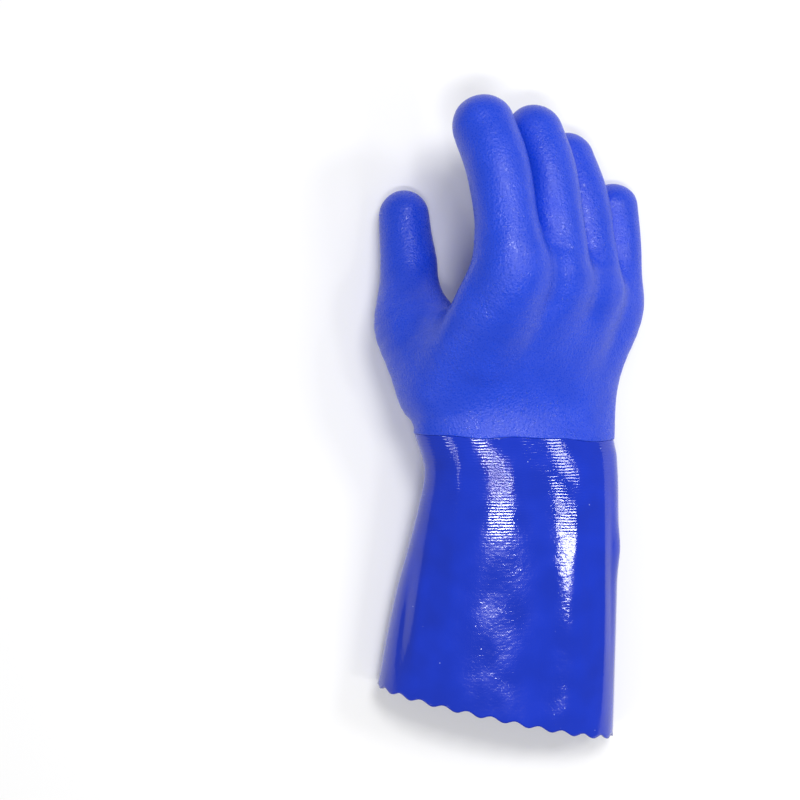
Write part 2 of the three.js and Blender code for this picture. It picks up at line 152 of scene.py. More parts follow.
# Folds and ridges of the cuff: place round it as a share from its right edge over the top,
# place along it, drift round it down its length, half widths round and along as shares,
# and height in mm
FOLD_COLUMNS = ("round", "at", "drift", "wide", "long", "height")
FOLDS = (
    (0.385, -0.45, 0.02, 0.014, 0.42, 0.35),
    (0.27, -0.12, -0.02, 0.03, 0.2, 0.2),
    (0.12, -0.55, 0.02, 0.016, 0.3, -0.6),
    (0.085, -0.5, 0.01, 0.008, 0.33, 0.55),
    (0.06, -0.45, 0.01, 0.01, 0.3, -0.55),
    (0.03, -0.37, 0.0, 0.02, 0.07, 1.2),
    (0.01, -0.5, 0.0, 0.06, 1.2, 1.1),
    (0.2, -0.8, 0.04, 0.06, 0.2, -0.5),
    (0.14, -0.3, 0.0, 0.02, 0.16, 0.5),
    (0.44, -0.65, 0.0, 0.012, 0.22, 0.7),
    (0.47, -0.7, 0.0, 0.012, 0.2, -0.6),
)
# The folds fade out over this share of the cuff before the dip line, where the hand's edge
# holds the form
FOLD_FADE = 0.05

# Waves of the dip line: height, length of one radian and phase
DIP_WAVES = ((0.5 * MM, 9 * MM, 0), (0.35 * MM, 4.3 * MM, 1))
# Share of the cuff over which the waves of its two ends fade out
WAVE_FADE = 1 / 12

# The glove's own weight presses its lowest stretch flat
SOLE = 0.8 * MM
# The second coat ends in a soft lip that stands proud of the cuff
COAT_STEP = 0.4 * MM
LIP = 0.9 * MM
# Where the lip gets rows of points, as shares of it
LIP_ROWS = (1.0, 0.6, 0.3, 0.12, 0.0)
# The cuff runs on a little way inside the hand, clear of its skin
TONGUE = 7 * MM
TONGUE_GAP = 0.3 * MM
# Last rows of the cuff in the open and the first one inside the hand, as shares of its length
LAST_ROWS = (-0.012, -0.003, -0.001)
FIRST_INSIDE = 0.001

# Share of a section's size within which its axis counts as a point
AXIS_REACH = 1e-3

# Soft boxes of the studio: place and aim in metres, size across and along, and watts
LIGHT_COLUMNS = ("name", "place", "aim", "size", "power")
LIGHTS = (
    ("overhead", (-0.02, -0.25, 1.3), (0.0, 0.0, 0.0), (0.3, 0.09), 4),
    ("right_strip", (0.8, -0.33, 1.3), (0.0, 0.0, 0.0), (0.12, 0.2), 2.1),
    ("left_strip", (-1.0, -0.8, 1.2), (0.0, 0.0, 0.0), (0.5, 0.1), 2),
    ("far_window", (0.2, 0.5, 1.35), (0.0, 0.0, 0.0), (0.45, 0.3), 7.8),
    ("right_window", (1.1, 0.4, 1.2), (0.0, 0.0, 0.0), (0.3, 0.3), 5),
)
# The camera looks straight down from 0.9 m, beside the middle of the dip line
CAMERA_PLACE = (-0.05, 0.018, 0.9)
LENS = 81
SENSOR = 36
WORLD_STRENGTH = 0.345
FLOOR_HALF = 4.0

# Finishes: bend of light in PVC, and sizes of what shows in the coats
PVC_IOR = 1.53
KNIT_COURSE = 1.4 * MM
GRIT = 1.2 * MM
GRIT_DRIFT = 0.6 * MM
GRAIN = 1.0 * MM
PATCH = 16 * MM
PEEL = 2.2 * MM
SAG = 14 * MM
WANDER = 5 * MM
DUST = 7 * MM
DUST_COLOUR = "#9FB0F0"
# Heights of the bump of each finish
SANDY_BUMP = 0.35 * MM
GLOSSY_BUMP = 0.3 * MM
LINER_BUMP = 0.3 * MM
# Shares of the glossy coat's bump: orange peel, sags, and ribs away from and at the wrist
PEEL_SHARE = 0.21
SAG_SHARE = 0.4
RIB_SHARES = (0.004, 0.07)
# Where along Y the ribs fade, and how far their courses wander
RIB_FADE = (-0.065, -0.02)
RIB_WANDER = 1.2 * MM
# Size of the largest single grains as a share of their cells, and how much smaller some are
GRAIN_REACH = 0.47
GRAIN_SPREAD = 0.25
# Size of a speck of dust as a share of its cell
SPECK = 0.035
# A wave texture of scale 1 has its bands about this far apart
WAVE_BAND = 1 / 3.2

# Fineness of the meshes and of the forms that they follow
HAND_CELL = 2.6 * MM
CUFF_SIDES = 264
CUFF_STEP = 1.25 * MM
RING_FINENESS = 16
COARSE_SIDES = 96
COARSE_STEPS = 25
DIGIT_STEPS = 22
WEB_STEPS = 12
# The trunk is sampled from behind the dip line on, as a share of the hand's length
TRUNK_START = -0.15
TRUNK_STEPS = 240
# How far behind the hand's box its grid starts, so that the dip line can be cut
CUT_SPARE = 6 * MM
# Step and least slope by which points settle onto a surface
NUDGE = 0.2 * MM
LEAST_SLOPE = 0.3


def linear(code):
    """Linear colour of an sRGB hex value."""
    shares = [int(code[i:i + 2], 16) / 255 for i in (1, 3, 5)]
    return [s / 12.92 if s <= 0.04045 else ((s + 0.055) / 1.055) ** 2.4 for s in shares] + [1.0]


class HandSizes(bpy.types.PropertyGroup):
    """Outer sizes of the hand and its digits"""

    length: FloatProperty(
        name="Length", description="From the dip line, the measure of all lengths of the hand",
        default=0.159, unit="LENGTH",
    )
    palm_width: FloatProperty(
        name="Palm width", description="Across the knuckles", default=0.112, unit="LENGTH",
    )
    palm_thickness: FloatProperty(
        name="Palm thickness", description="Back to palm at the knuckles",
        default=0.026, unit="LENGTH",
    )
    roll: FloatProperty(
        name="Roll", description="Turn of the knuckles towards the little finger",
        default=math.radians(48), subtype="ANGLE",
    )
    finger_diameter: FloatProperty(
        name="Finger", description="Thickness of the index finger", default=0.029, unit="LENGTH",
    )
    thumb_diameter: FloatProperty(
        name="Thumb", description="Thickness of the thumb", default=0.029, unit="LENGTH",
    )
    thumb_length: FloatProperty(
        name="Thumb length", description="From the dip line to the middle of its round tip",
        default=0.109, unit="LENGTH",
    )
    wall: FloatProperty(
        name="Wall", description="Liner with two coats", default=0.0018, unit="LENGTH",
    )


class CuffSizes(bpy.types.PropertyGroup):
    """Outer sizes of the gauntlet cuff"""

    length: FloatProperty(
        name="Length", description="From the hem to the dip line", default=0.135, unit="LENGTH",
    )
    wrist_width: FloatProperty(
        name="Wrist width", description="Across the wrist", default=0.094, unit="LENGTH",
    )
    wrist_height: FloatProperty(
        name="Wrist height", description="Back to palm at the wrist",
        default=0.052, unit="LENGTH",
    )
    hem_width: FloatProperty(
        name="Hem width", description="Across the hem", default=0.116, unit="LENGTH",
    )
    hem_height: FloatProperty(
        name="Hem height", description="How high the hem stands", default=0.046, unit="LENGTH",
    )
    wall: FloatProperty(
        name="Wall", description="Liner with one coat", default=0.0014, unit="LENGTH",
    )
    scallops: IntProperty(
        name="Scallops", description="Teeth of the pinked hem", default=24, min=6,
    )
    scallop_depth: FloatProperty(
        name="Scallop depth", description="Crest to hollow", default=0.0019, unit="LENGTH",
    )


class GloveColours(bpy.types.PropertyGroup):
    """Colours of the coats, the liner and the studio's floor"""

    sandy: FloatVectorProperty(
        name="Sandy coat", description="Matt second coat of the hand",
        subtype="COLOR", size=4, default=linear("#1241D2"),
    )
    glossy: FloatVectorProperty(
        name="Glossy coat", description="Smooth base coat of the cuff",
        subtype="COLOR", size=4, default=linear("#0730BC"),
    )
    liner: FloatVectorProperty(
        name="Liner", description="Knitted liner inside, soaked with the coat",
        subtype="COLOR", size=4, default=linear("#20277A"),
    )
    floor: FloatVectorProperty(
        name="Floor", description="Pale paper that the glove lies on",
        subtype="COLOR", size=4, default=linear("#FAFAFA"),
    )


def table(columns, rows):
    """The rows of a table with their columns' names."""
    return [dict(zip(columns, row)) for row in rows]


def mix(a, b, share):
    return a + (b - a) * share


def eased(share):
    """A share from 0 to 1 that starts and ends softly."""
    share = np.clip(share, 0, 1)
    return share * share * (3 - 2 * share)


def hermite(start, leave, end, arrive, u):
    """Value at a share of a span from its two ends and the slopes there."""
    return (
        (2 * u**3 - 3 * u**2 + 1) * start + (u**3 - 2 * u**2 + u) * leave
        + (3 * u**2 - 2 * u**3) * end + (u**3 - u**2) * arrive
    )


def between(rows, at):
    """Values of a table between its rows, on a smooth curve through them."""
    last = len(rows) - 1
    i = 0
    while i < last - 1 and at > rows[i + 1]["at"]:
        i += 1
    before, start, end, after = rows[max(i - 1, 0)], rows[i], rows[i + 1], rows[min(i + 2, last)]
    span = end["at"] - start["at"]
    u = min(max((at - start["at"]) / span, 0.0), 1.0)
    values = {}
    for name in start:
        leave = (end[name] - before[name]) / (end["at"] - before["at"]) * span
        arrive = (after[name] - start[name]) / (after["at"] - start["at"]) * span
        values[name] = hermite(start[name], leave, end[name], arrive, u)
    return values


def on_section(section, s, t):
    """Points of a section that are s along its width and t over its middle line."""
    bow = section["arch"] * (1 - (s / section["half"]) ** 2)
    sin, cos = math.sin(section["roll"]), math.cos(section["roll"])
    x = s * cos + (t + bow) * sin
    z = -s * sin + (t + bow) * cos
    return np.stack([section["x"] + x, section["y"] + section["slant"] * x, z], axis=-1)


def ring(section, inset, count):
    """Points spread evenly round a section, from its edge towards +X on."""
    angle = np.linspace(0, 2 * math.pi, RING_FINENESS * count + 1)
    rise = np.where(np.sin(angle) > 0, section["above"], section["below"]) - inset
    bend = 2 / section["square"]
    s = (section["half"] - inset) * np.sign(np.cos(angle)) * np.abs(np.cos(angle)) ** bend
    t = rise * np.sign(np.sin(angle)) * np.abs(np.sin(angle)) ** bend
    loop = on_section(section, s, t)
    steps = np.linalg.norm(np.diff(loop, axis=0), axis=1)
    lengths = np.concatenate([[0], np.cumsum(steps)])
    goals = np.linspace(0, lengths[-1], count, endpoint=False)
    return np.stack([np.interp(goals, lengths, loop[:, k]) for k in range(3)], axis=-1)


def lift_of(section):
    """How far a section is lifted so that it stands on the floor, a little flattened."""
    return -SOLE - ring(section, 0.0, COARSE_SIDES)[:, 2].min()


def smooth_path(points, radii, count):
    """Middles and radii evenly along a smooth curve through a few points."""
    both = np.column_stack([np.array(points, float), np.array(radii, float)])
    steps = np.linalg.norm(np.diff(both[:, :3], axis=0), axis=1)
    at = np.concatenate([[0], np.cumsum(np.sqrt(steps))])
    slopes = np.gradient(both, at, axis=0)
    goals = np.linspace(0, at[-1], count)
    k = np.clip(np.searchsorted(at, goals, side="right") - 1, 0, len(at) - 2)
    span = (at[k + 1] - at[k])[:, None]
    u = (goals - at[k])[:, None] / span
    path = hermite(both[k], span * slopes[k], both[k + 1], span * slopes[k + 1], u)
    return path[:, :3], path[:, 3]


def tube_distance(points, path):
    """Distance of points from a round tube that changes its girth along a path."""
    middles, radii = path
    nearest = np.full(len(points), np.inf)
    for start, end, r0, r1 in zip(middles[:-1], middles[1:], radii[:-1], radii[1:]):
        way = end - start
        share = np.clip((points - start) @ way / (way @ way), 0, 1)
        gap = np.linalg.norm(points - start - share[:, None] * way, axis=1)
        nearest = np.minimum(nearest, gap - mix(r0, r1, share))
    return nearest


def filleted(a, b, reach):
    """The nearer of two distances, rounded where both are alike."""
    overlap = np.maximum(reach - np.abs(a - b), 0) / reach
    return np.minimum(a, b) - overlap**2 * reach / 4


class GloveForm:
    """The glove's outer form, worked out from its sizes and the tables above."""

    def __init__(self, hand, cuff):
        self.hand = hand
        self.cuff = cuff
        self.cuff_rows = table(CUFF_COLUMNS, CUFF_ROWS)
        self.palm_rows = table(PALM_COLUMNS, PALM_ROWS)
        self.uneven = table(UNEVEN_COLUMNS, UNEVEN)
        self.folds = table(FOLD_COLUMNS, FOLDS)
        self.wrist = self.cuff_section(0.0)
        self.fingers = [self.finger_path(row) for row in table(FINGER_COLUMNS, FINGERS)]
        self.thumb = self.thumb_path()
        self.web = self.web_path()
        self.valleys = [self.valley_path(i) for i in range(len(self.fingers) - 1)]
        self.sample_trunk()

    def cuff_section(self, at):
        """Outer size and place of the cuff at one share of its length."""
        row = between(self.cuff_rows, at)
        cuff = self.cuff
        height = mix(cuff.wrist_height, cuff.hem_height, row["flare"])
        return {
            "y": at * cuff.length,
            "x": row["shift"] * cuff.hem_width,
            "half": mix(cuff.wrist_width, cuff.hem_width, row["flare"]) / 2,
            "above": height * row["top"],
            "below": height * (1 - row["top"]),
            "roll": row["roll"] * self.hand.roll,
            "slant": row["slant"],
            "arch": 0.0,
            "square": row["square"],
        }

    def palm_section(self, at):
        """Outer size and place of the hand's trunk at one share of the hand's length."""
        row = between(self.palm_rows, at)
        hand = self.hand
        wrist_height = self.wrist["above"] + self.wrist["below"]
        height = mix(wrist_height, hand.palm_thickness, row["spread"]) * row["plump"]
        return {
            "y": at * hand.length,
            "x": self.wrist["x"] + row["shift"] * hand.palm_width,
            "half": mix(self.wrist["half"], hand.palm_width / 2, row["spread"]),
            "above": height / 2,
            "below": height / 2,
            "roll": row["roll"] * hand.roll,
            "slant": row["slant"],
            "arch": row["arch"] * height,
            "square": row["square"],
        }

    def seat(self, section, share, back=0.0):
        """A point of the middle line, with the ways to the little finger and the palm."""
        s = share * section["half"]
        near = 0.01 * section["half"]
        point, beyond = on_section(section, np.array([s, s + near]), np.zeros(2))
        to_little = (beyond - point) * (1, 0, 1)
        to_little /= np.linalg.norm(to_little)
        to_palm = np.array([to_little[2], 0.0, -to_little[0]])
        point[1] = section["y"] - back
        point[2] += lift_of(section)
        return point, to_little, to_palm

    def finger_path(self, finger):
        """Middles and radii of a finger from its ridge in the back of the hand to its tip."""
        length = self.hand.length
        back = finger["back"] * length
        behind = self.palm_section(KNUCKLES - FINGER_ROOT["length"])
        root = self.seat(behind, finger["seat"] * FINGER_ROOT["gather"], back)[0]
        knuckle = self.palm_section(KNUCKLES)
        point, to_little, to_palm = self.seat(knuckle, finger["seat"], back)
        splay = math.radians(finger["splay"])
        straight = np.array([0, math.cos(splay), 0]) + math.sin(splay) * to_little
        middles = [root, point]
        bend = 0.0
        for bone, flex in zip(finger["bones"], finger["flex"]):
            bend += math.radians(flex)
            heading = straight * math.cos(bend) + to_palm * math.sin(bend)
            middles.append(middles[-1] + heading * bone * length)
        girth = finger["girth"] * self.hand.finger_diameter / 2
        tip = finger["tip"] * self.hand.finger_diameter / 2
        radii = [girth * FINGER_ROOT["girth"], girth, girth, tip, tip]
        return smooth_path(middles, radii, DIGIT_STEPS)

    def thumb_path(self):
        width, length = self.hand.palm_width, self.hand.thumb_length
        rows = table(THUMB_COLUMNS, THUMB)
        middles = [(r["across"] * width, r["along"] * length, r["up"] * width) for r in rows]
        radii = [r["girth"] * self.hand.thumb_diameter / 2 for r in rows]
        return smooth_path(middles, radii, DIGIT_STEPS)

    def web_path(self):
        """Fold of skin between the index knuckle and the root of the thumb."""
        root = self.thumb[0][len(self.thumb[0]) // 2]
        knuckle = self.seat(self.palm_section(KNUCKLES), FINGERS[0][0])[0]
        middle = (knuckle + root) / 2 - (0, WEB["sag"] * self.hand.length, 0)
        radii = [girth * self.hand.thumb_diameter / 2 for girth in WEB["girths"]]
        return smooth_path([knuckle, middle, root], radii, WEB_STEPS)

    def valley_path(self, i):
        """Hollow on the back of the hand that runs on from between two fingers."""
        middles = (self.fingers[i][0] + self.fingers[i + 1][0]) / 2
        radii = (self.fingers[i][1] + self.fingers[i + 1][1]) / 2
        at = middles[:, 1] / self.hand.length
        chosen = (at > VALLEY["start"]) & (at < VALLEY["end"])
        share = (at[chosen] - VALLEY["start"]) / (VALLEY["end"] - VALLEY["start"])
        out = -self.seat(self.palm_section(KNUCKLES), 0.0)[2]
        width = mix(VALLEY["narrow"], VALLEY["wide"], share)
        height = radii[chosen] * mix(VALLEY["high"], VALLEY["low"], share)
        middles = middles[chosen] + out * height[:, None]
        return middles, width

    def sample_trunk(self):
        """Keeps the trunk's sections in fine steps, for its distance."""
        samples = np.linspace(TRUNK_START, PALM_ROWS[-1][0], TRUNK_STEPS)
        sections = [self.palm_section(at) for at in samples]
        self.trunk = {name: np.array([s[name] for s in sections]) for name in sections[0]}
        # Past the knuckles the trunk stays up between the fingers
        standing = [self.palm_section(min(at, KNUCKLES)) for at in samples]
        self.trunk["lift"] = np.array([lift_of(s) for s in standing])

    def trunk_distance(self, points):
        """Distance of points from the trunk of the hand, near enough for fillets."""
        trunk = self.trunk
        along = points[:, 1]
        for _ in range(4):
            x = np.interp(along, trunk["y"], trunk["x"])
            along = points[:, 1] - np.interp(along, trunk["y"], trunk["slant"]) * (points[:, 0] - x)
        value = {name: np.interp(along, trunk["y"], column) for name, column in trunk.items()}
        dx = points[:, 0] - value["x"]
        dz = points[:, 2] - value["lift"]
        sin, cos = np.sin(value["roll"]), np.cos(value["roll"])
        s = dx * cos - dz * sin
        t = dx * sin + dz * cos
        t -= value["arch"] * (1 - (s / value["half"]) ** 2)
        rise = np.where(t > 0, value["above"], value["below"])
        power = value["square"]
        reach = ((np.abs(s) / value["half"]) ** power + (np.abs(t) / rise) ** power) ** (1 / power)
        reach = np.maximum(reach, AXIS_REACH)
        slope = np.hypot(
            (np.abs(s) / value["half"] / reach) ** (power - 1) / value["half"],
            (np.abs(t) / rise / reach) ** (power - 1) / rise,
        )
        return -filleted((1 - reach) / slope, trunk["y"][-1] - along, FRONT_ROUND)

    def hand_distance(self, points):
        """Distance of points from the outside of the hand."""
        trunk = self.trunk_distance(points)
        grown_in = eased(points[:, 1] / DIP_BLEND)
        grown = eased(points[:, 1] / (THUMB_START * self.hand.length))
        thumb_fillet = mix(LEAST_FILLET, THUMB_FILLET, grown)
        web_fillet = mix(LEAST_FILLET, WEB_FILLET, grown)
        form = filleted(trunk, tube_distance(points, self.thumb), thumb_fillet)
        form = filleted(form, tube_distance(points, self.web), web_fillet)
        form = mix(trunk, form, grown_in)
        digits = tube_distance(points, self.fingers[0])
        for finger in self.fingers[1:]:
            digits = filleted(digits, tube_distance(points, finger), CROTCH_FILLET)
        form = filleted(form, digits, FINGER_FILLET)
        for valley in self.valleys:
            form = -filleted(-form, tube_distance(points, valley), VALLEY_FILLET)
        for row in self.uneven:
            waves = 2 * math.pi * points / np.array(row["waves"]) / MM + row["phase"]
            form = form - row["height"] * MM * np.sin(waves).prod(axis=1) * grown_in
        return form

    def origin(self):
        """The middle of the glove's box on the floor, where the frame has its origin."""
        loops = [self.hem_ring(0.0)]
        for at in np.linspace(-1, 0, COARSE_STEPS):
            loops.append(ring(self.cuff_section(at), COAT_STEP, COARSE_SIDES))
        for at in np.linspace(0, PALM_ROWS[-1][0], COARSE_STEPS):
            loops.append(ring(self.palm_section(at), 0.0, COARSE_SIDES))
        low = [loop.min(axis=0) for loop in loops]
        high = [loop.max(axis=0) for loop in loops]
        for middles, radii in (*self.fingers, self.thumb):
            low.append((middles - radii[:, None]).min(axis=0))
            high.append((middles + radii[:, None]).max(axis=0))
        middle = (np.min(low, axis=0) + np.max(high, axis=0)) / 2
        middle[2] = 0
        return middle

    def cuff_loop(self, at, inset):
        """Outer points of the cuff with its folds, standing on the floor."""
        if at > 0:
            section = self.palm_section(at * self.cuff.length / self.hand.length)
        else:
            section = self.cuff_section(at)
        loop = ring(section, inset, CUFF_SIDES)
        loop[:, 2] += lift_of(section)
        along = np.roll(loop, -1, axis=0) - np.roll(loop, 1, axis=0)
        out = np.stack([along[:, 2], 0 * along[:, 1], -along[:, 0]], axis=-1)
        out /= np.linalg.norm(out, axis=1)[:, None]
        share = np.arange(CUFF_SIDES) / CUFF_SIDES
        rise = np.zeros(CUFF_SIDES)
        for fold in self.folds:
            here = fold["round"] + fold["drift"] * (at - fold["at"])
            gap = (share - here + 0.5) % 1 - 0.5
            reach = (at - fold["at"]) / fold["long"]
            rise += fold["height"] * MM * np.exp(-(gap / fold["wide"]) ** 2 - reach**2)
        rise *= min(1.0, max(0.0, -at) / FOLD_FADE)
        loop += out * rise[:, None]
        return loop

    def hem_ring(self, inset):
        """Ring of the pinked hem."""
        loop = ring(self.cuff_section(-1.0), inset + COAT_STEP, CUFF_SIDES)
        share = np.arange(CUFF_SIDES) / CUFF_SIDES * self.cuff.scallops
        loop[:, 1] += self.cuff.scallop_depth * (0.5 + 0.5 * np.cos(2 * math.pi * share))
        return loop


def net(distance, low, cell, shape):
    """Points and quads of the zero surface of a distance, a point in each grid cell."""
    axes = [low[k] + cell * np.arange(shape[k]) for k in range(3)]
    grid = np.stack(np.meshgrid(*axes, indexing="ij"), axis=-1)
    value = distance(grid.reshape(-1, 3)).reshape(shape)
    inside = value < 0
    cells = tuple(n - 1 for n in shape)
    total = np.zeros(cells + (3,))
    crossings = np.zeros(cells)
    for axis in range(3):
        near, far = [slice(None)] * 3, [slice(None)] * 3
        near[axis], far[axis] = slice(0, -1), slice(1, None)
        a, b = value[tuple(near)], value[tuple(far)]
        cross = inside[tuple(near)] != inside[tuple(far)]
        point = grid[tuple(near)].copy()
        point[..., axis] += np.where(cross, a / np.where(cross, a - b, 1), 0) * cell
        others = [k for k in range(3) if k != axis]
        for corner in ((0, 0), (0, 1), (1, 0), (1, 1)):
            take = [slice(None)] * 3
            for k, d in zip(others, corner):
                take[k] = slice(d, d + cells[k])
            total += np.where(cross[tuple(take)][..., None], point[tuple(take)], 0)
            crossings += cross[tuple(take)]
    used = crossings > 0
    number = np.full(cells, -1)
    number[used] = np.arange(used.sum())
    quads = []
    for axis in range(3):
        near, far = [slice(1, -1)] * 3, [slice(1, -1)] * 3
        near[axis], far[axis] = slice(0, -1), slice(1, None)
        a, b = inside[tuple(near)], inside[tuple(far)]
        for leaving, turn in ((a & ~b, 1), (~a & b, -1)):
            spots = np.argwhere(leaving)
            corners = []
            for du, dv in ((0, 0), (1, 0), (1, 1), (0, 1))[::turn]:
                corner = spots.copy()
                corner[:, (axis + 1) % 3] += du
                corner[:, (axis + 2) % 3] += dv
                corners.append(number[tuple(corner.T)])
            quads.append(np.stack(corners, axis=-1))
    return total[used] / crossings[used][:, None], np.concatenate(quads)


def settled(points, distance, rounds):
    """Points moved onto the zero surface of a distance."""
    for _ in range(rounds):
        value = distance(points)
        slope = [(distance(points + step) - value) / NUDGE for step in np.eye(3) * NUDGE]
        slope = np.stack(slope, axis=-1)
        size = np.maximum((slope**2).sum(axis=1), LEAST_SLOPE)
        points = points - slope * (value / size)[:, None]
    return points


def new_object(name, points, faces):
    mesh = bpy.data.meshes.new(name)
    mesh.from_pydata(points.tolist(), [], faces.tolist())
    obj = bpy.data.objects.new(name, mesh)
    bpy.context.collection.objects.link(obj)
    return obj


def points_of(obj):
    flat = np.empty(len(obj.data.vertices) * 3, dtype=np.float32)
    obj.data.vertices.foreach_get("co", flat)
    return flat.reshape(-1, 3).astype(float)


def set_points(obj, points):
    obj.data.vertices.foreach_set("co", points.astype(np.float32).ravel())
    obj.data.update()


def add_modifier(obj, kind, **settings):
    """Adds a modifier, sets it and leaves its result as the object's mesh."""
    modifier = obj.modifiers.new(kind.title(), kind)
    for name, value in settings.items():
        setattr(modifier, name, value)
    graph = bpy.context.evaluated_depsgraph_get()
    mesh = bpy.data.meshes.new_from_object(obj.evaluated_get(graph))
    obj.modifiers.clear()
    obj.data = mesh


def finish_piece(obj, node, materials):
    """Gives a piece its materials, hides the part of the node that it stands for and hangs it on
    the root body.
    """
    obj.data.materials.clear()
    for material in materials:
        obj.data.materials.append(material)
    obj.data.shade_smooth()
    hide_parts(node)
    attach(obj, "root")


def add_node(tree, kind, settings=None, **inputs):
    """Adds a node; inputs are values or other nodes' outputs, by socket name or as _number."""
    node = tree.nodes.new(kind)
    for name, value in (settings or {}).items():
        setattr(node, name, value)
    for name, value in inputs.items():
        socket = node.inputs[int(name[1:])] if name[1:].isdigit() else node.inputs[
            name.replace("_", " ")]
        if isinstance(value, bpy.types.NodeSocket):
            tree.links.new(value, socket)
        else:
            socket.default_value = value
    return node


def new_material(name):
    material = bpy.data.materials.new(name)
    material.use_nodes = True
    tree = material.node_tree
    tree.nodes.clear()
    output = tree.nodes.new("ShaderNodeOutputMaterial")
    shader = tree.nodes.new("ShaderNodeBsdfPrincipled")
    tree.links.new(shader.outputs["BSDF"], output.inputs["Surface"])
    return material, tree, shader


def sandy_vinyl(colour):
    """Sandy-finish PVC: a matt second coat whose fine grit glints in the broad lights."""
    material, tree, shader = new_material("sandy_finish_pvc")
    shader.inputs["IOR"].default_value = PVC_IOR
    place = add_node(tree, "ShaderNodeTexCoord").outputs["Object"]
    # Grit of about 0.2 mm, drawn as coarse as it shows at this distance
    grit = add_node(tree, "ShaderNodeTexVoronoi", {"feature": "SMOOTH_F1"}, Vector=place,
                    Scale=1 / GRIT, Smoothness=0.2)
    drift = add_node(tree, "ShaderNodeTexNoise", Vector=place, Scale=1 / GRIT_DRIFT, Detail=2.0)
    height = add_node(tree, "ShaderNodeMath", {"operation": "ADD"},
                      _0=grit.outputs["Distance"], _1=drift.outputs["Fac"])
    # The coat took more grit in some places than in others
    patches = add_node(tree, "ShaderNodeTexNoise", Vector=place, Scale=1 / PATCH, Detail=3.0)
    amount = add_node(tree, "ShaderNodeMapRange", Value=patches.outputs["Fac"],
                      From_Min=0.35, From_Max=0.65, To_Min=0.3, To_Max=0.7)
    bump = add_node(tree, "ShaderNodeBump", Height=height.outputs["Value"],
                    Strength=amount.outputs["Result"], Distance=SANDY_BUMP)
    tree.links.new(bump.outputs["Normal"], shader.inputs["Normal"])
    # Single grains that stand clear of the coat are smoother and glint
    grains = add_node(tree, "ShaderNodeTexVoronoi", Vector=place, Scale=1 / GRAIN)
    kept = add_node(tree, "ShaderNodeSeparateColor", Color=grains.outputs["Color"])
    clear = add_node(tree, "ShaderNodeMath", {"operation": "MULTIPLY_ADD"},
                     _0=kept.outputs["Red"], _1=-GRAIN_SPREAD, _2=GRAIN_REACH)
    inside = add_node(tree, "ShaderNodeMath", {"operation": "LESS_THAN"},
                      _0=grains.outputs["Distance"], _1=clear.outputs["Value"])
    gloss = add_node(tree, "ShaderNodeMapRange", Value=inside.outputs["Value"],
                     To_Min=0.43, To_Max=0.09)
    tree.links.new(gloss.outputs["Result"], shader.inputs["Roughness"])
    shade = add_node(tree, "ShaderNodeMapRange", Value=patches.outputs["Fac"],
                     From_Min=0.3, From_Max=0.7, To_Min=0.93, To_Max=1.05)
    tint = add_node(tree, "ShaderNodeVectorMath", {"operation": "SCALE"},
                    Vector=tuple(colour)[:3], Scale=shade.outputs["Result"])
    tree.links.new(tint.outputs["Vector"], shader.inputs["Base Color"])
    return material


